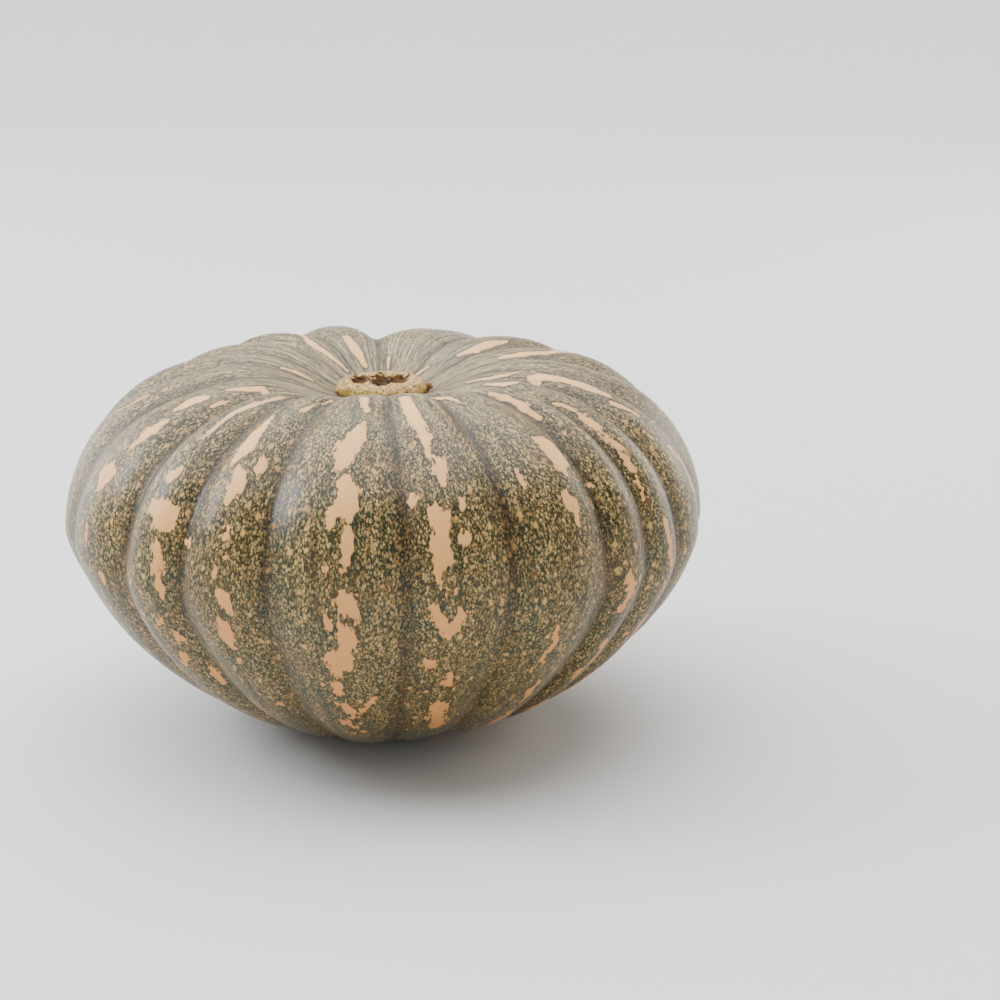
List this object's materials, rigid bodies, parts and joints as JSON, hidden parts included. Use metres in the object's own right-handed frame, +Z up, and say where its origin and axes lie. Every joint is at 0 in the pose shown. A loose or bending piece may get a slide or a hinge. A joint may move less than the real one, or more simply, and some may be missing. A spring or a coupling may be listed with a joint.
{
  "type": "kabocha squash",
  "caption": "Whole flattened, ribbed winter squash with a mottled grey-green rind and the corky stump of its cut stem sunk in the top.",
  "frame": {"origin": "on the resting surface, under the middle of the fruit", "axes": "+Z up through the stem, -Y towards the side that the picture shows"},
  "size_m": [0.2608, 0.2622, 0.1487],
  "materials": {
    "mottled_rind": "waxy, satin, grey-green with tan flecks and peach-tan patches",
    "corky_stem": "dry matt cork with dark pits"
  },
  "bodies": {
    "root": {"squash_fruit": "mottled_rind", "stem_stump": "corky_stem"}
  },
  "joints": []
}
